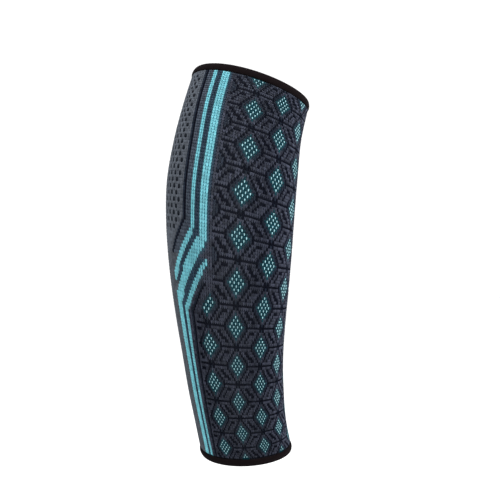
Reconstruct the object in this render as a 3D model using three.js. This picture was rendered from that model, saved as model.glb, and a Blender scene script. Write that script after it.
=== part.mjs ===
// Leg sleeve: a seamless knitted tube in its worn shape, with a folded elastic binding at each end.
// Millimetres, +Z from the narrow lower end to the wide upper one, +X to the front, +Y to the left.
// The origin is the middle of the hollow where it is widest.

import * as THREE from 'three';

// Driving dimensions
const WALL = 1.8; // thickness of the knitted wall
const HEM_HEIGHT = 6; // height of a binding, measured along the tube
const HEM_LEAF = 0.7; // thickness of each leaf of a binding
const EDGE_WALL = 1; // thickness of the tube's edge, squeezed between the two leaves
const FIT_GAP = 0.3; // clearance between the tube and its bindings

// Fineness of the faceted surfaces
const SIDES = 44; // facets around the tube
const TUBE_RINGS = 30; // bands of facets along the tube
const RIM_STEPS = 6; // facets over the rounded rim of a binding

// Sections of the worn sleeve from the lower end to the upper one, evenly spaced by stitch rows.
// centreX and height place a section's middle, and lean tips its back edge up, in degrees.
// halfDepth runs from back to front and halfWidth from side to side.
// egg moves the widest place from the middle towards the back.
const SECTIONS = [
  { centreX: 14, height: -225, lean: -2, halfDepth: 40.5, halfWidth: 36.5, egg: 0.03 },
  { centreX: 8.5, height: -197.5, lean: 0.5, halfDepth: 41, halfWidth: 37.5, egg: 0.04 },
  { centreX: 4.5, height: -170.5, lean: 3, halfDepth: 43, halfWidth: 39.5, egg: 0.05 },
  { centreX: 1.5, height: -140, lean: 5, halfDepth: 45.5, halfWidth: 42.5, egg: 0.07 },
  { centreX: -0.5, height: -107.5, lean: 7, halfDepth: 49.5, halfWidth: 46, egg: 0.09 },
  { centreX: -1.5, height: -72, lean: 9.5, halfDepth: 54, halfWidth: 51, egg: 0.12 },
  { centreX: -1.5, height: -35.5, lean: 12.5, halfDepth: 57.5, halfWidth: 55.5, egg: 0.15 },
  { centreX: 0, height: 0, lean: 15, halfDepth: 59, halfWidth: 57, egg: 0.16 },
  { centreX: 4.5, height: 35.5, lean: 15.5, halfDepth: 57.5, halfWidth: 55.5, egg: 0.15 },
  { centreX: 10, height: 67, lean: 15.5, halfDepth: 55, halfWidth: 53, egg: 0.13 },
  { centreX: 18.5, height: 99, lean: 15, halfDepth: 53.5, halfWidth: 51, egg: 0.085 },
];
const BANDS = SECTIONS.length - 1;

const KNIT = new THREE.MeshStandardMaterial({ color: 0x46515d, roughness: 0.85, metalness: 0 });
const ELASTIC = new THREE.MeshStandardMaterial({ color: 0x18191b, roughness: 0.8, metalness: 0 });

// A row of the section table, with one row past each end carried on in a straight line.
function tableValue(row, column) {
  if (row < 0) return 2 * SECTIONS[0][column] - SECTIONS[1][column];
  if (row > BANDS) return 2 * SECTIONS[BANDS][column] - SECTIONS[BANDS - 1][column];
  return SECTIONS[row][column];
}

// One column of the table at any place along the sleeve, 0 at the lower end and 1 at the upper one,
// on a Catmull-Rom curve through the rows.
function columnAt(along, column) {
  const row = Math.min(Math.floor(along * BANDS), BANDS - 1);
  const step = along * BANDS - row;
  const [before, from, to, after] = [-1, 0, 1, 2].map((shift) => tableValue(row + shift, column));
  const slope = to - before;
  const bend = 2 * before - 5 * from + 4 * to - after;
  const twist = 3 * from - before - 3 * to + after;
  return 0.5 * (2 * from + slope * step + bend * step ** 2 + twist * step ** 3);
}

// A point of the section at `along`, set in from the outer face by `inset` square to its outline.
function sleevePoint({ along, inset }, angle) {
  const lean = THREE.MathUtils.degToRad(columnAt(along, 'lean'));
  const halfDepth = columnAt(along, 'halfDepth');
  const halfWidth = columnAt(along, 'halfWidth');
  const egg = columnAt(along, 'egg');
  const outline = new THREE.Vector2(
    halfDepth * Math.cos(angle),
    halfWidth * Math.sin(angle) * (1 - egg * Math.cos(angle)),
  );
  const outward = new THREE.Vector2(
    halfWidth * (Math.cos(angle) - egg * Math.cos(2 * angle)),
    halfDepth * Math.sin(angle),
  ).normalize();
  outline.addScaledVector(outward, -inset);
  return new THREE.Vector3(
    columnAt(along, 'centreX') + outline.x * Math.cos(lean),
    outline.y,
    columnAt(along, 'height') - outline.x * Math.sin(lean),
  );
}

// Share of the sleeve's length that a distance in from one end takes up.
function shareAtEnd(distance, isTop) {
  const [outer, inner] = isTop ? [SECTIONS[BANDS], SECTIONS[BANDS - 1]] : [SECTIONS[0], SECTIONS[1]];
  const bandLength = Math.hypot(outer.centreX - inner.centreX, outer.height - inner.height);
  return distance / bandLength / BANDS;
}

// A profile point a distance in from the upper or the lower end.
function fromEnd(distance, inset, isTop) {
  const share = shareAtEnd(distance, isTop);
  return { along: isTop ? 1 - share : share, inset };
}

// Carries a closed profile once around the tube. It runs up the outer face and down the inner one.
function sweepAround(profile) {
  const positions = [];
  const triangles = [];
  profile.forEach((point, row) => {
    const nextRow = (row + 1) % profile.length;
    for (let side = 0; side < SIDES; side += 1) {
      const nextSide = (side + 1) % SIDES;
      positions.push(...sleevePoint(point, (2 * Math.PI * side) / SIDES).toArray());
      const corner = row * SIDES + side;
      const beside = row * SIDES + nextSide;
      const above = nextRow * SIDES + side;
      const across = nextRow * SIDES + nextSide;
      triangles.push(corner, beside, across, corner, across, above);
    }
  });
  const geometry = new THREE.BufferGeometry();
  geometry.setAttribute('position', new THREE.Float32BufferAttribute(positions, 3));
  geometry.setIndex(triangles);
  geometry.computeVertexNormals();
  return geometry;
}

// The binding is a U in section: two leaves joined by a half-round rim, with a slot for the tube's edge.
const SLOT_WIDTH = EDGE_WALL + 2 * FIT_GAP;
const HEM_THICKNESS = 2 * HEM_LEAF + SLOT_WIDTH;
const RIM_RADIUS = HEM_THICKNESS / 2;

function hemProfile(isTop) {
  const inner = HEM_THICKNESS;
  const slotInner = HEM_LEAF + SLOT_WIDTH;
  const section = [[HEM_HEIGHT, 0]];
  for (let step = 0; step <= RIM_STEPS; step += 1) {
    const turn = (Math.PI * step) / RIM_STEPS;
    section.push([RIM_RADIUS * (1 - Math.sin(turn)), RIM_RADIUS * (1 - Math.cos(turn))]);
  }
  section.push([HEM_HEIGHT, inner], [HEM_HEIGHT, slotInner]);
  section.push([RIM_RADIUS, slotInner], [RIM_RADIUS, HEM_LEAF], [HEM_HEIGHT, HEM_LEAF]);
  const profile = section.map(([distance, inset]) => fromEnd(distance, inset, isTop));
  return isTop ? profile : profile.reverse();
}

// The tube keeps its full wall between the bindings and necks in to the squeezed edge inside each of them.
const EDGE_OUTER = HEM_LEAF + FIT_GAP;
const EDGE_INNER = EDGE_OUTER + EDGE_WALL;
const EDGE_START = RIM_RADIUS + FIT_GAP;
const SHOULDER = HEM_HEIGHT + FIT_GAP;

function tubeProfile() {
  const lowest = shareAtEnd(SHOULDER, false);
  const highest = 1 - shareAtEnd(SHOULDER, true);
  const outerFace = [];
  const innerFace = [];
  for (let ring = 0; ring <= TUBE_RINGS; ring += 1) {
    const along = lowest + ((highest - lowest) * ring) / TUBE_RINGS;
    outerFace.push({ along, inset: 0 });
    innerFace.unshift({ along, inset: WALL });
  }
  return [
    fromEnd(EDGE_START, EDGE_OUTER, false),
    fromEnd(SHOULDER, EDGE_OUTER, false),
    ...outerFace,
    fromEnd(SHOULDER, EDGE_OUTER, true),
    fromEnd(EDGE_START, EDGE_OUTER, true),
    fromEnd(EDGE_START, EDGE_INNER, true),
    fromEnd(SHOULDER, EDGE_INNER, true),
    ...innerFace,
    fromEnd(SHOULDER, EDGE_INNER, false),
    fromEnd(EDGE_START, EDGE_INNER, false),
  ];
}

function piece(name, profile, material) {
  const mesh = new THREE.Mesh(sweepAround(profile), material);
  mesh.name = name;
  return mesh;
}

const sleeve = new THREE.Group();
sleeve.name = 'leg_sleeve';
sleeve.add(
  piece('knit_tube', tubeProfile(), KNIT),
  piece('top_hem', hemProfile(true), ELASTIC),
  piece('bottom_hem', hemProfile(false), ELASTIC),
);

export default sleeve;
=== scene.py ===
# Leg sleeve: its knitted stitches, the wall behind them and the two elastic bindings.
# Metres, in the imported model's frame: +Z up the tube, +X to its front, -Y towards the camera.

import bpy
import numpy as np
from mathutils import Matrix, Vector


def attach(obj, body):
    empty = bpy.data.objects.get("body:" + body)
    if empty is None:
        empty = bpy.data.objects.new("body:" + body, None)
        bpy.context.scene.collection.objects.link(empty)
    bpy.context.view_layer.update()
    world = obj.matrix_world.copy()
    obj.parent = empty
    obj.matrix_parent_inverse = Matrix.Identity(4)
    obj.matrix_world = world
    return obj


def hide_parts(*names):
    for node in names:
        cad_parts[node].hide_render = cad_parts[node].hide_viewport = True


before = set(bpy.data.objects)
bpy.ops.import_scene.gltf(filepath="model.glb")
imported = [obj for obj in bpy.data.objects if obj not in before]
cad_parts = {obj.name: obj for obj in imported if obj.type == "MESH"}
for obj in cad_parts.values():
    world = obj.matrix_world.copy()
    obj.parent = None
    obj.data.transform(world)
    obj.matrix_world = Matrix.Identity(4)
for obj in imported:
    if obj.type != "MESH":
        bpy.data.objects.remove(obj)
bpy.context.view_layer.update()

MM = 0.001
YARN_SEED = 12  # for the small unevenness of the stitches
rng = np.random.default_rng(YARN_SEED)

# Form of the worn sleeve
# Sections from the lower end to the upper one, evenly spaced by stitch rows, in millimetres and degrees.
# The slips are how far the wales have turned round the tube, as shares of the whole round.
# rise is how far the courses have moved up, in table rows.
# columns: centre x, height, lean, half depth, half width, egg, front, side, line and back slip, rise
SECTIONS = np.array([
    (14.0, -225.0, -2.0, 40.5, 36.5, 0.03, 0.026, 0.021, 0.006, 0.004, 0.170),
    (8.5, -197.5, 0.5, 41.0, 37.5, 0.04, 0.015, 0.015, 0.005, 0.003, 0.020),
    (4.5, -170.5, 3.0, 43.0, 39.5, 0.05, 0.009, 0.010, 0.003, 0.003, 0.015),
    (1.5, -140.0, 5.0, 45.5, 42.5, 0.07, 0.003, 0.002, 0.002, 0.003, 0.005),
    (-0.5, -107.5, 7.0, 49.5, 46.0, 0.09, -0.004, 0.000, -0.002, 0.004, 0.015),
    (-1.5, -72.0, 9.5, 54.0, 51.0, 0.12, -0.014, -0.005, 0.000, 0.001, 0.045),
    (-1.5, -35.5, 12.5, 57.5, 55.5, 0.15, -0.025, -0.012, -0.005, -0.006, 0.085),
    (0.0, 0.0, 15.0, 59.0, 57.0, 0.16, -0.029, -0.016, -0.006, -0.006, 0.110),
    (4.5, 35.5, 15.5, 57.5, 55.5, 0.15, -0.027, -0.019, -0.003, 0.001, 0.125),
    (10.0, 67.0, 15.5, 55.0, 53.0, 0.13, -0.017, -0.012, 0.004, 0.012, 0.080),
    (18.5, 99.0, 15.0, 53.5, 51.0, 0.085, -0.002, -0.002, 0.009, 0.021, -0.158),
])
BANDS = len(SECTIONS) - 1
PLACE_COLUMNS = 2  # columns that place the middle of a section
FORM_COLUMNS = 6  # columns that give its place and form, before the slips
# Places of the slips, as shares of the round from the front
SLIP_PLACES = (0.14, 0.225, 0.295, 0.35, 0.39, 0.5)
STRIPE_SLIP = 0.3  # share of the front slip that the stripes take
# The wide stripe's wales are spread a little and those beside it are narrower: wale numbers and places
WALE_NUMBERS = (0, 55, 58.5, 61.5, 64.5, 70, 101)
WALE_PLACES = (0, 55, 59.0, 62.5, 64.9, 70, 101)

# Sizes across the wall, in metres
WALL = 1.8 * MM
STITCH_DEPTH = 0.6 * MM  # from the outer face down to the wall behind the stitches
HEM_HEIGHT = 6.0 * MM
HEM_LEAF = 0.7 * MM
HEM_THICKNESS = 3.0 * MM
EDGE_OUTER = 1.0 * MM  # depths of the two faces of the tube's squeezed edge inside a binding
EDGE_INNER = 2.0 * MM
FIT_GAP = 0.3 * MM

# Knitting gauge: a wale is a column of stitches and a course is a row of them
WALES = 200
COURSES_PER_BAND = 14  # courses between two sections
COURSES = COURSES_PER_BAND * BANDS
FIRST_COURSE = 2  # courses nearest the two bindings
LAST_COURSE = COURSES - 1
COURSE_SINK = 0.65  # courses by which the whole pattern lies lower than its numbers


def section_values(row):
    """The table's columns at row numbers, on a Catmull-Rom curve through the rows."""
    below = 2 * SECTIONS[0] - SECTIONS[1]
    above = 2 * SECTIONS[-1] - SECTIONS[-2]
    table = np.vstack([below, SECTIONS, above])
    band = np.clip(np.floor(row).astype(int), 0, BANDS - 1)
    step = (row - band)[:, None]
    before, start, end, after = (table[band + shift] for shift in range(4))
    slope = end - before
    bend = 2 * before - 5 * start + 4 * end - after
    twist = 3 * start - before - 3 * end + after
    return 0.5 * (2 * start + slope * step + bend * step**2 + twist * step**3)


GRID_ROWS = 560  # steps of the sampled outer face, along and round
GRID_COLUMNS = 800
FINE_ANGLES = 3200  # steps round a section before it is sampled evenly
GRID_ROW_NUMBERS = np.linspace(0, BANDS, GRID_ROWS + 1)
GRID_TABLE = section_values(GRID_ROW_NUMBERS).T
*SLIPS, RISE = GRID_TABLE[FORM_COLUMNS:]


def sample_outer_face():
    """Points and outward normals of the outer face, at even shares of the way round from the front."""
    centre_x, height, lean, half_depth, half_width, egg = GRID_TABLE[:FORM_COLUMNS, :, None]
    angle = -np.linspace(0, 2 * np.pi, FINE_ANGLES + 1)
    depth = half_depth * np.cos(angle)
    width = half_width * np.sin(angle) * (1 - egg * np.cos(angle))
    tilt = np.radians(lean)
    fine = np.stack([centre_x + depth * np.cos(tilt), width, height - depth * np.sin(tilt)], axis=2) * MM
    steps = np.linalg.norm(np.diff(fine, axis=1), axis=2)
    travelled = np.pad(np.cumsum(steps, axis=1), ((0, 0), (1, 0)))
    even = np.arange(GRID_COLUMNS) / GRID_COLUMNS
    points = np.empty((GRID_ROWS + 1, GRID_COLUMNS, 3))
    for ring, way, fine_ring in zip(points, travelled, fine):
        share = way / way[-1]
        for axis in range(3):
            ring[:, axis] = np.interp(even, share, fine_ring[:, axis])
    round_tube = np.roll(points, -1, axis=1) - np.roll(points, 1, axis=1)
    up_tube = np.gradient(points, axis=0)
    normals = np.cross(up_tube, round_tube)
    normals /= np.linalg.norm(normals, axis=2, keepdims=True)
    return points, normals


FACE_POINTS, FACE_NORMALS = sample_outer_face()


def on_sleeve(share, row, lift):
    """Points at shares of the way round and at row numbers, raised off the outer face by lift."""
    share, row, lift = np.broadcast_arrays(share, row, lift)
    column = (share % 1.0) * GRID_COLUMNS
    left = np.floor(column).astype(int)
    across = (column - left)[..., None]
    level = np.clip(row / BANDS, 0, 1) * GRID_ROWS
    low = np.minimum(np.floor(level).astype(int), GRID_ROWS - 1)
    up = (level - low)[..., None]
    left = left % GRID_COLUMNS
    right = (left + 1) % GRID_COLUMNS

    def between(grid):
        lower = grid[low, left] * (1 - across) + grid[low, right] * across
        upper = grid[low + 1, left] * (1 - across) + grid[low + 1, right] * across
        return lower * (1 - up) + upper * up

    return between(FACE_POINTS) + lift[..., None] * between(FACE_NORMALS)


def row_of_course(course):
    """Row number at which a course lies. Near the bindings the courses are gathered."""
    straight = (course - COURSE_SINK) / COURSES_PER_BAND
    return straight + np.interp(straight, GRID_ROW_NUMBERS, RISE)


def share_of_wale(wale, row):
    """Share of the way round at which a wale lies, from 0 at the front. Positive wales face the camera."""
    from_front = np.interp(np.abs(wale), WALE_NUMBERS, WALE_PLACES) / WALES
    straight = np.sign(wale) * from_front
    front, side, line, back = (np.interp(row, GRID_ROW_NUMBERS, slip) for slip in SLIPS)
    slips = (front, side, STRIPE_SLIP * front, line, back, 0.0)
    turned = straight + np.where(from_front < SLIP_PLACES[0], front, 0.0)
    for place in range(len(SLIP_PLACES) - 1):
        near, far = SLIP_PLACES[place], SLIP_PLACES[place + 1]
        part = (from_front - near) / (far - near)
        between = slips[place] * (1 - part) + slips[place + 1] * part
        turned = turned + np.where((part >= 0) & (part < 1), between, 0.0)
    return turned


def end_row(distance, is_top):
    """Row number at a distance in from the upper or the lower end."""
    middles = SECTIONS[:, :PLACE_COLUMNS]
    band = middles[-1] - middles[-2] if is_top else middles[0] - middles[1]
    rows_in = np.asarray(distance) / (np.hypot(*band) * MM)
    return BANDS - rows_in if is_top else rows_in


# Knitting chart
# Yarns by their colour or their place. An eyelet has none.
YARNS = (
    "none", "black", "groove", "charcoal", "slate", "calf",
    "ash", "dusk", "navy", "turquoise", "pale", "teal",
)
YARN_NUMBER = {name: number for number, name in enumerate(YARNS)}
COLUMN_STEP = 15  # wales between two columns of diamonds
ROW_STEP = 14  # courses between two diamonds of a column
HALF_STEP = ROW_STEP // 2
DIAMOND_COLUMNS = 5  # columns on each side, from the front to the field's border
# Sizes of a diamond in stitches, counted from its middle along wales and courses together
DOT_RING = 3  # last ring with pale dots
TEAL_RING = 4
BORDER_RING = 6  # last ring of its charcoal border
BORDER_HEIGHT = 3  # courses to the ends of that border
OUTLINE_HALF_WIDTH = 6  # wales to the side corners of its black outline
# Stitches of the dark slots beside a diamond, as wales and courses from its middle
THICK_SLOT = ((-5, 5), (-6, 5), (-6, 4), (-7, 4), (-7, 3), (-8, 3), (-9, 3), (-9, 2), (-10, 2))
THIN_SLOT = ((5, 5), (6, 5), (7, 5), (8, 4), (9, 3), (10, 2))


def from_diamond(side, course):
    """Wales and courses from each stitch to the middle of its nearest diamond."""
    best_x = np.full(side.shape, WALES)
    best_y = np.full(side.shape, COURSES)
    for column in range(DIAMOND_COLUMNS):
        shift = HALF_STEP if column % 2 == 0 else 0
        x = side - column * COLUMN_STEP
        y = (course - shift + HALF_STEP) % ROW_STEP - HALF_STEP
        nearer = np.abs(x) + np.abs(y) < np.abs(best_x) + np.abs(best_y)
        best_x = np.where(nearer, x, best_x)
        best_y = np.where(nearer, y, best_y)
    return best_x, best_y


def on_slot(x, y):
    """The dark slot inside each slanted block, a thick stroke in one kind and a thin hook in the other."""
    dark = np.zeros(x.shape, bool)
    low = y < 0
    for slot, next_column in ((THICK_SLOT, -COLUMN_STEP), (THIN_SLOT, COLUMN_STEP)):
        for slot_x, slot_y in slot:
            dark |= (x == slot_x) & (y == slot_y)
            dark |= low & (x + next_column == slot_x) & (y + HALF_STEP == slot_y)
    return dark


PANEL_LINE_WALE = 70  # of the black line beside the back panel
PANEL_LINE_BEND = 86  # course below which that line turns off
PANEL_LINE_END = 76  # its lowest course
EYELET_WALES = 4  # spacing of the eyelets in a row, and of the rows
EYELET_COURSES = 2
EYELET_MARGIN = 3  # wales from the black line to the nearest eyelet
FIRST_EYELET_WALE = 74.5  # of the first eyelet beside the black line
LEAST_EYELET_WALE = 73.5  # that of the other side, where the rows end
FIRST_EYELET_COURSE = 83
LAST_EYELET_COURSE = 137


def panel_line(course):
    """Wale of the black line beside the back panel. Its lower end turns off towards the back."""
    return PANEL_LINE_WALE + np.maximum(0, PANEL_LINE_BEND - course)


def from_eyelet(wale, course):
    """Wales and courses from each place to the nearest eyelet of the offset rows."""
    line = np.round((course - FIRST_EYELET_COURSE) / EYELET_COURSES)
    shift = FIRST_EYELET_WALE + np.where(line % 2 == 0, 0, EYELET_WALES // 2)
    y = course - FIRST_EYELET_COURSE - EYELET_COURSES * line
    x = (wale - shift + EYELET_WALES / 2) % EYELET_WALES - EYELET_WALES / 2
    return x, y


def in_eyelet_panel(wale, course):
    beside_line = np.abs(wale) >= np.maximum(LEAST_EYELET_WALE, panel_line(course) + EYELET_MARGIN)
    return beside_line & (course >= FIRST_EYELET_COURSE) & (course <= LAST_EYELET_COURSE)


def is_eyelet(wale, course):
    x, y = from_eyelet(wale, course)
    return (np.abs(x) < 1) & (y == 0) & in_eyelet_panel(wale - x, course)


# Edges of the field and the stripes: courses, then the wales at which an edge passes them
FIELD_EDGE = (56.5, 68, 69), (67.5, 56, 57)
BLACK_LINE = (59, 68.5), (68.5, 59.5)
WIDE_IN = (61.3, 80.6), (76.5, 58.5)
WIDE_OUT = (63.2, 66, 71, 77, 82.2), (80.9, 77.9, 72.95, 67.35, 61.75)
NARROW_IN = (68, 77, 81, 83.6), (78.7, 70.6, 66.6, 64.6)
NARROW_OUT = (70.4, 84.6), (80.25, 66.4)
THIRD_IN = (59, 60, 66, 70, 74), (72.8, 71.8, 65.6, 61.4, 58.7)
THIRD_OUT = (60.5, 66, 70, 75.3), (74.5, 68.2, 64.4, 59.6)
NARROW_FIRST = 68  # lowest course of the narrow stripe
THIRD_LAST = 75  # highest course of the third stripe
STRAIGHT_FIRST = 69  # lowest course at which the field's edge runs straight up
PLAIN_WALE = 55  # wale from which diamonds beside that straight edge stay plain


def knit_chart(wale, course):
    """Number of the yarn that each stitch shows. Both sides of the tube have the same chart, mirrored."""
    side = np.abs(wale)
    chart = np.full(side.shape, YARN_NUMBER["slate"])

    def paint(where, yarn):
        chart[where] = YARN_NUMBER[yarn]

    def between(start, end):
        return (side >= start) & (side < end)

    # Field of blocks and dotted diamonds over the front
    x, y = from_diamond(side, course)
    ring = np.abs(x) + np.abs(y)
    paint((ring > TEAL_RING) & (ring <= BORDER_RING) & (np.abs(y) <= BORDER_HEIGHT), "charcoal")
    paint(on_slot(x, y), "black")
    paint((y == -HALF_STEP) | ((y == 0) & (ring > BORDER_RING)), "groove")
    paint((x == 0) & (np.abs(y) == HALF_STEP - 1), "charcoal")
    paint(np.abs(x) == np.minimum(OUTLINE_HALF_WIDTH, HALF_STEP - np.abs(y)), "black")
    paint(ring <= TEAL_RING, "teal")
    paint((ring <= DOT_RING) & ((x + y) % 2 == 1), "pale")

    # Plain edge of the field, with a black line along its lower part
    is_straight = course >= STRAIGHT_FIRST
    black_line = np.interp(course, *BLACK_LINE)
    paint((side >= PLAIN_WALE) & is_straight & (ring <= TEAL_RING), "charcoal")
    paint(side >= np.interp(course, *FIELD_EDGE), "slate")
    paint(between(black_line + 1, black_line + 2) & ~is_straight, "charcoal")
    paint(between(black_line, black_line + 1) & ~is_straight, "black")

    # Turquoise stripes, with dark yarn between them
    wide_in = np.interp(course, *WIDE_IN)
    wide_out = np.interp(course, *WIDE_OUT)
    narrow_in = np.interp(course, *NARROW_IN)
    narrow_out = np.interp(course, *NARROW_OUT)
    third_in = np.interp(course, *THIRD_IN)
    third_out = np.interp(course, *THIRD_OUT)
    has_narrow = course >= NARROW_FIRST
    has_third = course <= THIRD_LAST
    paint(between(wide_out, narrow_in) & has_narrow, "navy")
    paint(between(third_out, wide_in) & has_third, "navy")
    paint(between(wide_in - 1, wide_in) & ~has_third, "navy")
    paint(between(wide_in, wide_out), "turquoise")
    paint(between(narrow_in, narrow_out) & has_narrow, "turquoise")
    paint(between(third_in, third_out) & has_third, "turquoise")

    # Back: a black line, then a panel with eyelets in offset rows above and plain knit below
    line = panel_line(course)
    has_line = course >= PANEL_LINE_END
    paint(side >= np.where(has_narrow, narrow_out, wide_out), "ash")
    paint((side >= line) & has_line, "calf")
    paint(between(narrow_out, line) & has_line, "dusk")
    paint(between(line + 1, line + 2) & has_line, "charcoal")
    paint(between(line, line + 1) & has_line, "black")
    paint(is_eyelet(wale, course), "none")
    return chart


# Yarn colours, linear, with the colour of the wall that shows in the gaps between stitches: each yarn's
# hue, darkened as painted shade in the gaps and the eyelets
YARN_COLOUR = {
    "black": (0.0032, 0.0040, 0.0080),
    "groove": (0.0032, 0.0040, 0.0080),
    "charcoal": (0.012, 0.017, 0.028),
    "slate": (0.032, 0.036, 0.053),
    "calf": (0.070, 0.080, 0.097),
    "ash": (0.056, 0.064, 0.076),
    "dusk": (0.050, 0.062, 0.083),
    "navy": (0.024, 0.043, 0.066),
    "turquoise": (0.142, 0.412, 0.472),
    "pale": (0.280, 0.470, 0.512),
    "teal": (0.005, 0.040, 0.053),
}
SHADED_GROUND_COLOUR = {
    "none": (0.003, 0.004, 0.006),
    "black": (0.0020, 0.0025, 0.0050),
    "groove": (0.0020, 0.0025, 0.0050),
    "charcoal": (0.004, 0.005, 0.009),
    "slate": (0.005, 0.006, 0.010),
    "calf": (0.012, 0.014, 0.018),
    "ash": (0.010, 0.012, 0.016),
    "dusk": (0.006, 0.009, 0.014),
    "navy": (0.003, 0.010, 0.018),
    "turquoise": (0.020, 0.110, 0.135),
    "pale": (0.002, 0.018, 0.025),
    "teal": (0.002, 0.018, 0.025),
}
BACK_COLOUR = np.array((0.040, 0.044, 0.050))
ELASTIC_COLOUR = (0.0044, 0.0028, 0.0032)


# Materials
SHEEN_ROUGHNESS = 0.3
SHEEN_TINT = (0.82, 0.9, 1.0, 1.0)


class Nodes:
    """A new material's node tree, with short calls for the nodes used here."""

    def __init__(self, name):
        self.material = bpy.data.materials.new(name)
        self.material.use_nodes = True
        self.tree = self.material.node_tree
        self.shader = self.tree.nodes["Principled BSDF"]

    def add(self, kind, **settings):
        node = self.tree.nodes.new(kind)
        for key, value in settings.items():
            setattr(node, key, value)
        return node

    def link(self, output, target):
        self.tree.links.new(output, target)

    def attribute(self, name):
        return self.add("ShaderNodeAttribute", attribute_name=name)

    def maths(self, operation, *values):
        node = self.add("ShaderNodeMath", operation=operation)
        for socket, value in zip(node.inputs, values):
            self.link(value, socket)
        return node.outputs[0]

    def noise(self, scale, detail):
        place = self.add("ShaderNodeTexCoord").outputs["Object"]
        node = self.add("ShaderNodeTexNoise")
        node.inputs["Scale"].default_value = scale
        node.inputs["Detail"].default_value = detail
        self.link(place, node.inputs["Vector"])
        return node.outputs["Fac"]

    def stretch(self, value, low, high):
        """A share from 0 to 1 spread from low to high."""
        node = self.add("ShaderNodeMapRange")
        node.inputs["To Min"].default_value = low
        node.inputs["To Max"].default_value = high
        self.link(value, node.inputs["Value"])
        return node.outputs["Result"]

    def scaled_colour(self, colour, factor):
        """A colour, fixed or from a node, times a factor."""
        node = self.add("ShaderNodeVectorMath", operation="SCALE")
        if isinstance(colour, tuple):
            node.inputs[0].default_value = colour
        else:
            self.link(colour, node.inputs[0])
        self.link(factor, node.inputs["Scale"])
        return node.outputs["Vector"]

    def bump(self, height, strength, distance):
        node = self.add("ShaderNodeBump")
        node.inputs["Strength"].default_value = strength
        node.inputs["Distance"].default_value = distance
        self.link(height, node.inputs["Height"])
        self.link(node.outputs["Normal"], self.shader.inputs["Normal"])

    def surface(self, colour, roughness):
        self.link(colour, self.shader.inputs["Base Color"])
        self.link(roughness, self.shader.inputs["Roughness"])

    def cloth_gloss(self, specular, sheen):
        self.shader.inputs["Specular IOR Level"].default_value = specular
        self.shader.inputs["Sheen Weight"].default_value = sheen
        self.shader.inputs["Sheen Roughness"].default_value = SHEEN_ROUGHNESS
        self.shader.inputs["Sheen Tint"].default_value = SHEEN_TINT


# Noise of the yarns: cells in a metre and levels of detail
FIBRE_NOISE = (1400, 3)  # single filaments
MELANGE_NOISE = (260, 2)  # lighter and darker lengths of yarn

# Ranges of shade and roughness, each from lowest to highest, and bumps as strength and height
YARN_MELANGE = (0.8, 1.2)
YARN_FIBRE = (0.8, 1.2)
# painted shade in the dips of the ply bump and painted light on its crests
PLY_PAINTED_SHADE = (0.95, 1.05)
YARN_ROUGHNESS = (0.5, 0.8)
YARN_BUMP = (0.35, 0.05 * MM)
PLAIN_SPECULAR = 0.05
PLAIN_SHEEN = 0.08
YARN_SHEEN = {"black": 0.03, "groove": 0.03, "turquoise": 0.2, "pale": 0.05}
DARK_YARNS = ("black", "groove")  # matt, so that the lines stay dark
DARK_SPECULAR = 0.01

WALL_MELANGE = (0.75, 1.25)
WALL_FIBRE = (0.7, 1.3)
WALL_ROUGHNESS = (0.7, 0.95)
WALL_BUMP = (0.5, 0.1 * MM)
WALL_SPECULAR = 0.01
WALL_SHEEN = 0.01

ELASTIC_MELANGE = (0.7, 1.3)
# painted shade in the dips of the elastic's course bump and painted light on its crests
COURSE_PAINTED_SHADE = (0.85, 1.1)
ELASTIC_ROUGHNESS = (0.65, 0.9)
ELASTIC_BUMP = (0.4, 0.12 * MM)
ELASTIC_SPECULAR = 0.015
ELASTIC_SHEEN = 0.02


def yarn_material(yarn):
    """Twisted filament yarn: plies along each stitch with painted shade in their dips and painted light on
    their crests, fine fibres and slightly uneven dye.
    """
    nodes = Nodes("yarn_" + yarn)
    fibre = nodes.noise(*FIBRE_NOISE)
    melange = nodes.noise(*MELANGE_NOISE)
    ply = nodes.maths("SINE", nodes.attribute("ply").outputs["Fac"])
    tint = nodes.attribute("tint").outputs["Fac"]
    shade = nodes.maths("MULTIPLY", tint, nodes.stretch(melange, *YARN_MELANGE))
    shade = nodes.maths("MULTIPLY", shade, nodes.stretch(fibre, *YARN_FIBRE))
    # painted shade and light that follow the ply bump
    shade = nodes.maths("MULTIPLY", shade, nodes.stretch(ply, *PLY_PAINTED_SHADE))
    roughness = nodes.stretch(fibre, *YARN_ROUGHNESS)
    nodes.surface(nodes.scaled_colour(YARN_COLOUR[yarn], shade), roughness)
    nodes.bump(nodes.maths("ADD", ply, fibre), *YARN_BUMP)
    specular = DARK_SPECULAR if yarn in DARK_YARNS else PLAIN_SPECULAR
    nodes.cloth_gloss(specular, YARN_SHEEN.get(yarn, PLAIN_SHEEN))
    return nodes.material


def wall_material():
    """The wall behind the stitches, its ground darkened as painted shade in the gaps, and the plain back
    of the knit on its inner face, with painted light on its ridges and painted shade in its dips.
    """
    nodes = Nodes("knit_back")
    fibre = nodes.noise(*FIBRE_NOISE)
    melange = nodes.stretch(nodes.noise(*MELANGE_NOISE), *WALL_MELANGE)
    shade = nodes.maths("MULTIPLY", melange, nodes.stretch(fibre, *WALL_FIBRE))
    # The ground colours carry painted shade: dark in the gaps and eyelets outside, and in the dips of the
    # back inside
    ground = nodes.attribute("ground").outputs["Color"]
    nodes.surface(nodes.scaled_colour(ground, shade), nodes.stretch(fibre, *WALL_ROUGHNESS))
    nodes.bump(fibre, *WALL_BUMP)
    nodes.cloth_gloss(WALL_SPECULAR, WALL_SHEEN)
    return nodes.material


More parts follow.
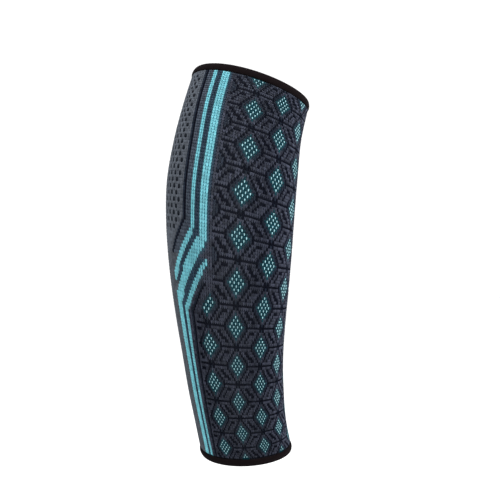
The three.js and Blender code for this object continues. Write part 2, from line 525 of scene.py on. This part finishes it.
def elastic_material():
    """Matt black elastic: fine knitted courses along the band with painted shade in their dips and painted
    light on their crests, and a little fluff.
    """
    nodes = Nodes("elastic_black")
    fibre = nodes.noise(*FIBRE_NOISE)
    melange = nodes.stretch(nodes.noise(*MELANGE_NOISE), *ELASTIC_MELANGE)
    course = nodes.maths("SINE", nodes.attribute("course").outputs["Fac"])
    # painted shade and light that follow the course bump
    shade = nodes.maths("MULTIPLY", melange, nodes.stretch(course, *COURSE_PAINTED_SHADE))
    roughness = nodes.stretch(fibre, *ELASTIC_ROUGHNESS)
    nodes.surface(nodes.scaled_colour(ELASTIC_COLOUR, shade), roughness)
    nodes.bump(nodes.maths("ADD", course, fibre), *ELASTIC_BUMP)
    nodes.cloth_gloss(ELASTIC_SPECULAR, ELASTIC_SHEEN)
    return nodes.material


# Mesh making
UV_NAME = "OFBake"


def mesh_piece(name, points, faces, corner_uv, material):
    """A new smooth-shaded mesh object from arrays of points, equal-sided faces and a flat map."""
    sides = faces.shape[1]
    mesh = bpy.data.meshes.new(name)
    mesh.vertices.add(len(points))
    mesh.vertices.foreach_set("co", points.astype(np.float32).ravel())
    mesh.loops.add(faces.size)
    mesh.loops.foreach_set("vertex_index", faces.astype(np.int32).ravel())
    mesh.polygons.add(len(faces))
    mesh.polygons.foreach_set("loop_start", np.arange(0, faces.size, sides, dtype=np.int32))
    mesh.polygons.foreach_set("use_smooth", np.ones(len(faces), dtype=bool))
    uv_map = mesh.uv_layers.new(name=UV_NAME)
    uv_map.uv.foreach_set("vector", np.clip(corner_uv, 0, 1).astype(np.float32).ravel())
    mesh.update(calc_edges=True)
    mesh.materials.append(material)
    piece = bpy.data.objects.new(name, mesh)
    bpy.context.collection.objects.link(piece)
    return piece


def point_numbers(piece, name, values):
    """One number for each point, for the material to read."""
    attribute = piece.data.attributes.new(name, "FLOAT", "POINT")
    attribute.data.foreach_set("value", values.astype(np.float32).ravel())


def point_colours(piece, name, colours):
    """One colour for each point, for the material to read."""
    attribute = piece.data.attributes.new(name, "FLOAT_COLOR", "POINT")
    with_alpha = np.hstack([colours, np.ones((len(colours), 1))])
    attribute.data.foreach_set("color", with_alpha.astype(np.float32).ravel())


def sweep_round(share, row, lift):
    """Points, faces and flat map of a closed profile round the tube, one line to each of its points."""
    lines, columns = lift.shape
    points = on_sleeve(share, row, lift).reshape(-1, 3)
    line, column = np.meshgrid(np.arange(lines), np.arange(columns), indexing="ij")
    next_line = (line + 1) % lines
    next_column = (column + 1) % columns
    corners = [line * columns + column, next_line * columns + column]
    corners += [next_line * columns + next_column, line * columns + next_column]
    faces = np.stack(corners, axis=2).reshape(-1, 4)
    flat = [(column, line), (column, line + 1), (column + 1, line + 1), (column + 1, line)]
    corner_uv = np.stack([np.stack([u / columns, v / lines], axis=2) for u, v in flat], axis=2)
    return points, faces, corner_uv.reshape(-1, 2)


# Stitches
# One leg of a V: two tips and two three-cornered rings between them.
# columns: share along the leg, side to side in half widths, height in ridge heights
LEG_POINTS = np.array([
    (0.00, 0.0, 0.30),
    (0.26, -1.0, 0.0),
    (0.26, 0.0, 1.0),
    (0.26, 1.0, 0.0),
    (0.74, -1.0, 0.0),
    (0.74, 0.0, 1.0),
    (0.74, 1.0, 0.0),
    (1.00, 0.0, 0.30),
])
LEG_FACES = np.array([
    (0, 1, 2), (0, 2, 3), (0, 3, 1),
    (1, 5, 2), (1, 4, 5), (2, 6, 3), (2, 5, 6), (3, 4, 1), (3, 6, 4),
    (7, 5, 4), (7, 6, 5), (7, 4, 6),
])
FOOT_OUT = 0.08  # wales from the middle of the V to a leg's foot and head
HEAD_OUT = 0.31
FOOT_DROP = 0.12  # courses that a leg reaches below and above its own stitch row
HEAD_RISE = 1.08
HALF_STITCH = 0.5  # courses from a stitch row up to the middle of its stitches
LEG_HALF_WIDTH = 0.18  # wales
RIDGE = 0.58 * MM
# How each yarn lies in the knit: fullness, spread of the V, extra reach at both ends in courses,
# height of its ridge and range of its shades
YARN_LIE = {
    "black": (1.35, 1.05, 0.2, 1.0, 0.1),
    "groove": (1.1, 1.0, -0.15, 0.6, 0.1),
    "charcoal": (1.0, 1.0, 0.1, 0.9, 0.35),
    "slate": (1.05, 1.0, 0.05, 1.0, 0.5),
    "calf": (1.05, 1.0, 0.08, 0.85, 0.25),
    "ash": (1.05, 1.0, 0.05, 0.85, 0.25),
    "dusk": (1.0, 1.0, 0.0, 0.9, 0.3),
    "navy": (1.0, 1.0, 0.0, 0.9, 0.3),
    "turquoise": (1.05, 0.95, 0.03, 1.0, 0.16),
    "pale": (0.8, 0.55, -0.12, 0.65, 0.12),
    "teal": (0.9, 1.0, 0.0, 1.0, 0.2),
}
LEAST_PLUMP = 0.93  # fullness of single stitches
MOST_PLUMP = 1.07
WALE_STRAY = 0.03  # wales and courses by which single stitches lie off their places
COURSE_STRAY = 0.05
EYELET_PULL = 0.56  # courses by which the legs above and below an eyelet's middle are drawn back
EYELET_HALF_WIDTH = 1.2  # wales and courses over which that fades
EYELET_REACH = 1.2
EYELET_CORNER_PULL = 0.36  # wales by which the legs beside an eyelet are drawn in at its corners
EYELET_SIDE_PUSH = 0.32  # wales by which they are pushed out between the corners
EYELET_SIDE_WALES = 1.2  # place of those legs and of the corners from an eyelet's middle
EYELET_CORNER_COURSES = 0.6
EYELET_SIDE_REACH = 0.8  # wales over which both fade
PLY_TURNS = 9.0  # radians of ply pattern along one leg, and from its ridge to its side
PLY_SLANT = 1.5
DIAMOND_WIDENING = 0.04  # shares by which the loose yarns of a diamond spread from its middle
DIAMOND_HEIGHTENING = 0.08
GROOVE_PINCH = 0.1  # courses by which the rows beside a groove close over it
MOST_STITCHES = 8000  # in one piece, so that no piece grows too heavy


def bow_round_eyelets(wale, course):
    """Wales and courses of the legs round an eyelet, drawn so that it opens to an oval."""
    middle = course - HALF_STITCH
    x, y = from_eyelet(wale, middle)
    near = in_eyelet_panel(wale - x, middle - y)

    def fading(distance, reach):
        return np.clip(1 - np.abs(distance) / reach, 0, 1)

    apart = EYELET_PULL * fading(x, EYELET_HALF_WIDTH) * fading(y, EYELET_REACH)
    at_corner = EYELET_CORNER_PULL * fading(np.abs(y) - EYELET_CORNER_COURSES, EYELET_CORNER_COURSES)
    at_middle = EYELET_SIDE_PUSH * fading(y, EYELET_CORNER_COURSES)
    inward = (at_corner - at_middle) * fading(np.abs(x) - EYELET_SIDE_WALES, EYELET_SIDE_REACH)
    bowed_wale = wale - np.sign(x) * np.where(near, inward, 0.0)
    return bowed_wale, course + np.sign(y) * np.where(near, apart, 0.0)


def stitch_piece(name, wale, course, yarn, material):
    """All stitches of one yarn in one piece, two legs each."""
    count = len(wale)
    along, across, height = LEG_POINTS.T
    fullness, spread, reach, ridge, shades = YARN_LIE[yarn]
    plump = rng.uniform(LEAST_PLUMP, MOST_PLUMP, (count, 1, 1))
    middle = (wale + rng.uniform(-WALE_STRAY, WALE_STRAY, count))[:, None, None]
    level = (course + rng.uniform(-COURSE_STRAY, COURSE_STRAY, count))[:, None, None]
    hand = np.array([-1, 1])[None, :, None]
    leg_wale = middle + hand * spread * (FOOT_OUT + (HEAD_OUT - FOOT_OUT) * along)
    leg_wale = leg_wale + across * LEG_HALF_WIDTH * fullness * plump
    foot = -FOOT_DROP - reach
    head = HEAD_RISE + reach
    leg_course = np.broadcast_to(level + foot + (head - foot) * along, leg_wale.shape)
    leg_wale, leg_course = bow_round_eyelets(leg_wale, leg_course)
    row = row_of_course(leg_course)
    lift = RIDGE * ridge * plump * height - STITCH_DEPTH
    points = on_sleeve(share_of_wale(leg_wale, row), row, lift).reshape(-1, 3)
    legs = count * 2
    faces = (np.arange(legs)[:, None, None] * len(LEG_POINTS) + LEG_FACES).reshape(-1, 3)
    point_uv = np.stack([leg_wale / WALES + 0.5, row / BANDS], axis=3).reshape(-1, 2)
    piece = mesh_piece(name, points, faces, point_uv[faces.ravel()], material)
    tint = rng.uniform(1 - shades, 1 + shades, (count, 1, 1))
    ply = PLY_TURNS * along + PLY_SLANT * across
    point_numbers(piece, "tint", np.broadcast_to(tint, leg_wale.shape))
    point_numbers(piece, "ply", np.broadcast_to(ply, leg_wale.shape))
    return piece


def knit_stitches():
    """Every stitch of the tube, one or more pieces to a yarn."""
    courses = np.arange(FIRST_COURSE, LAST_COURSE + 1)
    wale, course = np.meshgrid(np.arange(-WALES // 2, WALES // 2), courses)
    chart = knit_chart(wale, course)
    groove = np.pad(chart == YARN_NUMBER["groove"], ((1, 1), (0, 0)))
    closing = np.where(groove[1:-1], 0, groove[2:].astype(int) - groove[:-2])
    in_diamond = np.isin(chart, (YARN_NUMBER["pale"], YARN_NUMBER["teal"]))
    x, y = from_diamond(np.abs(wale), course)
    wale = wale + np.where(in_diamond, DIAMOND_WIDENING * np.sign(wale) * x, 0.0)
    course = course + np.where(in_diamond, DIAMOND_HEIGHTENING * y, GROOVE_PINCH * closing)
    wale, course, chart = wale.ravel(), course.ravel(), chart.ravel()
    pieces = []
    for yarn in YARNS[1:]:
        mine = np.flatnonzero(chart == YARN_NUMBER[yarn])
        material = yarn_material(yarn)
        batches = np.array_split(mine, int(np.ceil(len(mine) / MOST_STITCHES)))
        for number, batch in enumerate(batches, start=1):
            name = f"stitches_{yarn}_{number}"
            pieces.append(stitch_piece(name, wale[batch], course[batch], yarn, material))
    return pieces


# Wall behind the stitches
BACK_STEPS = 2  # lines to a course on the inner face, for its ridges
BACK_RIDGE = 0.12 * MM
BACK_PAINTED_SHADING = 0.4  # painted light on the ridges and painted shade in the dips between them, as a share of the back's colour


def knit_wall():
    """The closed wall: ground outside darkened as painted shade in the gaps, ridged back inside with
    painted light on its ridges and painted shade in its dips, edges squeezed into the bindings.
    """
    outer_courses = np.arange(FIRST_COURSE, LAST_COURSE + 2)
    outer_rows = row_of_course(outer_courses)
    back_lines = BACK_STEPS * (len(outer_courses) - 1) + 1
    back_courses = np.linspace(outer_courses[-1], FIRST_COURSE, back_lines)
    back_lift = -WALL + BACK_RIDGE * np.cos(2 * np.pi * back_courses) - BACK_RIDGE
    edge_start = HEM_THICKNESS / 2 + FIT_GAP
    shoulder = HEM_HEIGHT + FIT_GAP
    low_in = end_row([edge_start, shoulder], False)
    top_in = end_row([shoulder, edge_start], True)
    # Rows of the profile and their lifts, up the outer face and down the inner one
    profile = [
        (low_in, -EDGE_OUTER),
        (outer_rows, -STITCH_DEPTH),
        (top_in, -EDGE_OUTER),
        (top_in[::-1], -EDGE_INNER),
        (row_of_course(back_courses), back_lift),
        (low_in[::-1], -EDGE_INNER),
    ]
    row = np.concatenate([rows for rows, lifts in profile])[:, None]
    lift = np.concatenate([np.broadcast_to(lifts, rows.shape) for rows, lifts in profile])[:, None]
    wale = np.arange(WALES)[None, :]
    wale = np.where(wale >= WALES // 2, wale - WALES, wale)
    row, lift, wale = np.broadcast_arrays(row, lift, wale)
    points, faces, corner_uv = sweep_round(share_of_wale(wale, row), row, lift)
    piece = mesh_piece("knit_wall", points, faces, corner_uv, wall_material())
    course = np.interp(row, outer_rows, outer_courses).round().astype(int)
    # Outside: the ground colour of each stitch's yarn, darkened as painted shade for the gaps and the
    # eyelets
    palette = np.array([SHADED_GROUND_COLOUR[yarn] for yarn in YARNS])
    colours = palette[knit_chart(wale, course)]
    # Inside: painted light on the ridges of the knit's back and painted shade in the dips between them
    back_painted_shading = 1 + BACK_PAINTED_SHADING * (-WALL - BACK_RIDGE - lift[..., None]) / BACK_RIDGE
    is_back = lift <= -(STITCH_DEPTH + WALL) / 2
    colours[is_back] = (BACK_COLOUR * back_painted_shading)[is_back]
    point_colours(piece, "ground", colours.reshape(-1, 3))
    return piece


# Bindings
HEM_COLUMNS = 800
HEM_RIBS = 200
HEM_RIB = 0.09 * MM
HEM_BULGE = 0.55 * MM  # the leaves stand out like a soft cushion between their edges
HEM_INNER_BULGE = 0.6  # share of that on the inner leaf
HEM_BLUNTNESS = 0.7  # below 1 the cushion's edges are fuller
HEM_LEAF_STEPS = 10
HEM_RIM_STEPS = 8
HEM_COURSE_TURNS = 14.0  # radians of fine courses to a millimetre of profile


def hem_profile():
    """The U of a binding: distance in from the end, depth under the outer face, share of the ribs."""
    rim = HEM_THICKNESS / 2
    leaf = np.linspace(0, 1, HEM_LEAF_STEPS + 1)
    swell = np.sin(np.pi * leaf) ** HEM_BLUNTNESS
    leaf_distance = HEM_HEIGHT + (rim - HEM_HEIGHT) * leaf
    outer = np.stack([leaf_distance, -HEM_BULGE * swell, np.ones_like(leaf)], axis=1)
    turn = np.pi * np.arange(1, HEM_RIM_STEPS) / HEM_RIM_STEPS
    rounded = np.stack([rim * (1 - np.sin(turn)), rim * (1 - np.cos(turn)), np.ones_like(turn)], axis=1)
    inner = outer[::-1] * (1, -HEM_INNER_BULGE, 1) + (0, HEM_THICKNESS, 0)
    slot_inner = HEM_THICKNESS - HEM_LEAF
    slot = np.array([
        (HEM_HEIGHT, slot_inner, 0.0),
        (rim, slot_inner, 0.0),
        (rim, HEM_LEAF, 0.0),
        (HEM_HEIGHT, HEM_LEAF, 0.0),
    ])
    return np.vstack([outer, rounded, inner, slot])


def hem(name, is_top, material):
    """A folded elastic binding, ribbed like the knit that it closes."""
    profile = hem_profile()
    if not is_top:
        profile = profile[::-1]
    distance, depth, ribbed = profile.T
    share = np.arange(HEM_COLUMNS) / HEM_COLUMNS
    rib = HEM_RIB * np.cos(2 * np.pi * HEM_RIBS * share)
    row = end_row(distance, is_top)[:, None]
    lift = ribbed[:, None] * rib[None, :] - depth[:, None]
    points, faces, corner_uv = sweep_round(share[None, :], row, lift)
    piece = mesh_piece(name, points, faces, corner_uv, material)
    steps = np.hypot(np.diff(distance, prepend=distance[0]), np.diff(depth, prepend=depth[0]))
    along = np.cumsum(steps) / MM
    point_numbers(piece, "course", np.repeat(HEM_COURSE_TURNS * along, HEM_COLUMNS))
    return piece


elastic = elastic_material()
wall = knit_wall()
stitches = knit_stitches()
top_hem = hem("top_binding", True, elastic)
bottom_hem = hem("bottom_binding", False, elastic)

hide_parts("knit_tube")
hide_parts("top_hem")
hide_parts("bottom_hem")
for knitted in [wall, *stitches]:
    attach(knitted, "root")
for binding in (top_hem, bottom_hem):
    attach(binding, "root")


# Studio
FLOOR_HEIGHT = -0.55
FLOOR_RADIUS = 6.0
FLOOR_SIDES = 96
CARD_COLOUR = (0.93, 0.93, 0.93)
CARD_GRAIN = (90, 3)  # noise cells in a metre and levels of detail
CARD_SHADE = (0.985, 1.0)
CARD_ROUGHNESS = (0.85, 0.95)


def pale_floor():
    """A wide round floor of matt white card."""
    nodes = Nodes("white_card")
    grain = nodes.noise(*CARD_GRAIN)
    colour = nodes.scaled_colour(CARD_COLOUR, nodes.stretch(grain, *CARD_SHADE))
    nodes.surface(colour, nodes.stretch(grain, *CARD_ROUGHNESS))
    turn = 2 * np.pi * np.arange(FLOOR_SIDES) / FLOOR_SIDES
    rim = np.stack([np.cos(turn), np.sin(turn)], axis=1)
    points = np.column_stack([FLOOR_RADIUS * rim, np.full(FLOOR_SIDES, FLOOR_HEIGHT)])
    faces = np.arange(FLOOR_SIDES)[None, :]
    floor = mesh_piece("floor", points, faces, (rim + 1) / 2, nodes.material)


SLEEVE_MIDDLE = (0.005, 0.0, -0.06)
# Soft boxes: name, place, size in metres and power in watts
SOFT_BOXES = (
    ("key", (0.30, -0.50, 0.55), 0.5, 9.5),
    ("back_side", (-0.75, -0.35, 0.6), 0.6, 6.0),
    ("front_side", (1.0, 0.1, 0.0), 0.8, 7.0),
)
WHITE = (1.0, 1.0, 1.0, 1.0)
SURROUNDINGS_STRENGTH = 1.12


def soft_light(name, place, size, power):
    """A square soft box turned to the middle of the sleeve."""
    light = bpy.data.lights.new(name, "AREA")
    light.size = size
    light.energy = power
    lamp = bpy.data.objects.new(name, light)
    lamp.location = place
    aim = Vector(np.subtract(SLEEVE_MIDDLE, place))
    lamp.rotation_euler = aim.to_track_quat("-Z", "Y").to_euler()
    bpy.context.collection.objects.link(lamp)


def studio():
    """White surroundings with a soft key light and a soft light on either side."""
    world = bpy.data.worlds.new("white_studio")
    world.use_nodes = True
    background = world.node_tree.nodes["Background"]
    background.inputs["Color"].default_value = WHITE
    background.inputs["Strength"].default_value = SURROUNDINGS_STRENGTH
    scene = bpy.context.scene
    scene.world = world
    scene.view_settings.view_transform = "Standard"
    for soft_box in SOFT_BOXES:
        soft_light(*soft_box)


# Camera: level and close, with the photo's square frame
CAMERA_PLACE = (0.017, -0.450, -0.0455)
CAMERA_LENS = 36.0  # millimetres, on a sensor as wide as the lens is long
CAMERA_NEAR = 0.01  # nearest distance that is drawn


def photo_camera():
    camera = bpy.data.cameras.new("camera")
    camera.lens = CAMERA_LENS
    camera.sensor_width = CAMERA_LENS
    camera.clip_start = CAMERA_NEAR
    eye = bpy.data.objects.new("camera", camera)
    eye.location = CAMERA_PLACE
    eye.rotation_euler = (np.pi / 2, 0.0, 0.0)
    bpy.context.collection.objects.link(eye)
    bpy.context.scene.camera = eye


pale_floor()
studio()
photo_camera()

bpy.context.view_layer.update()
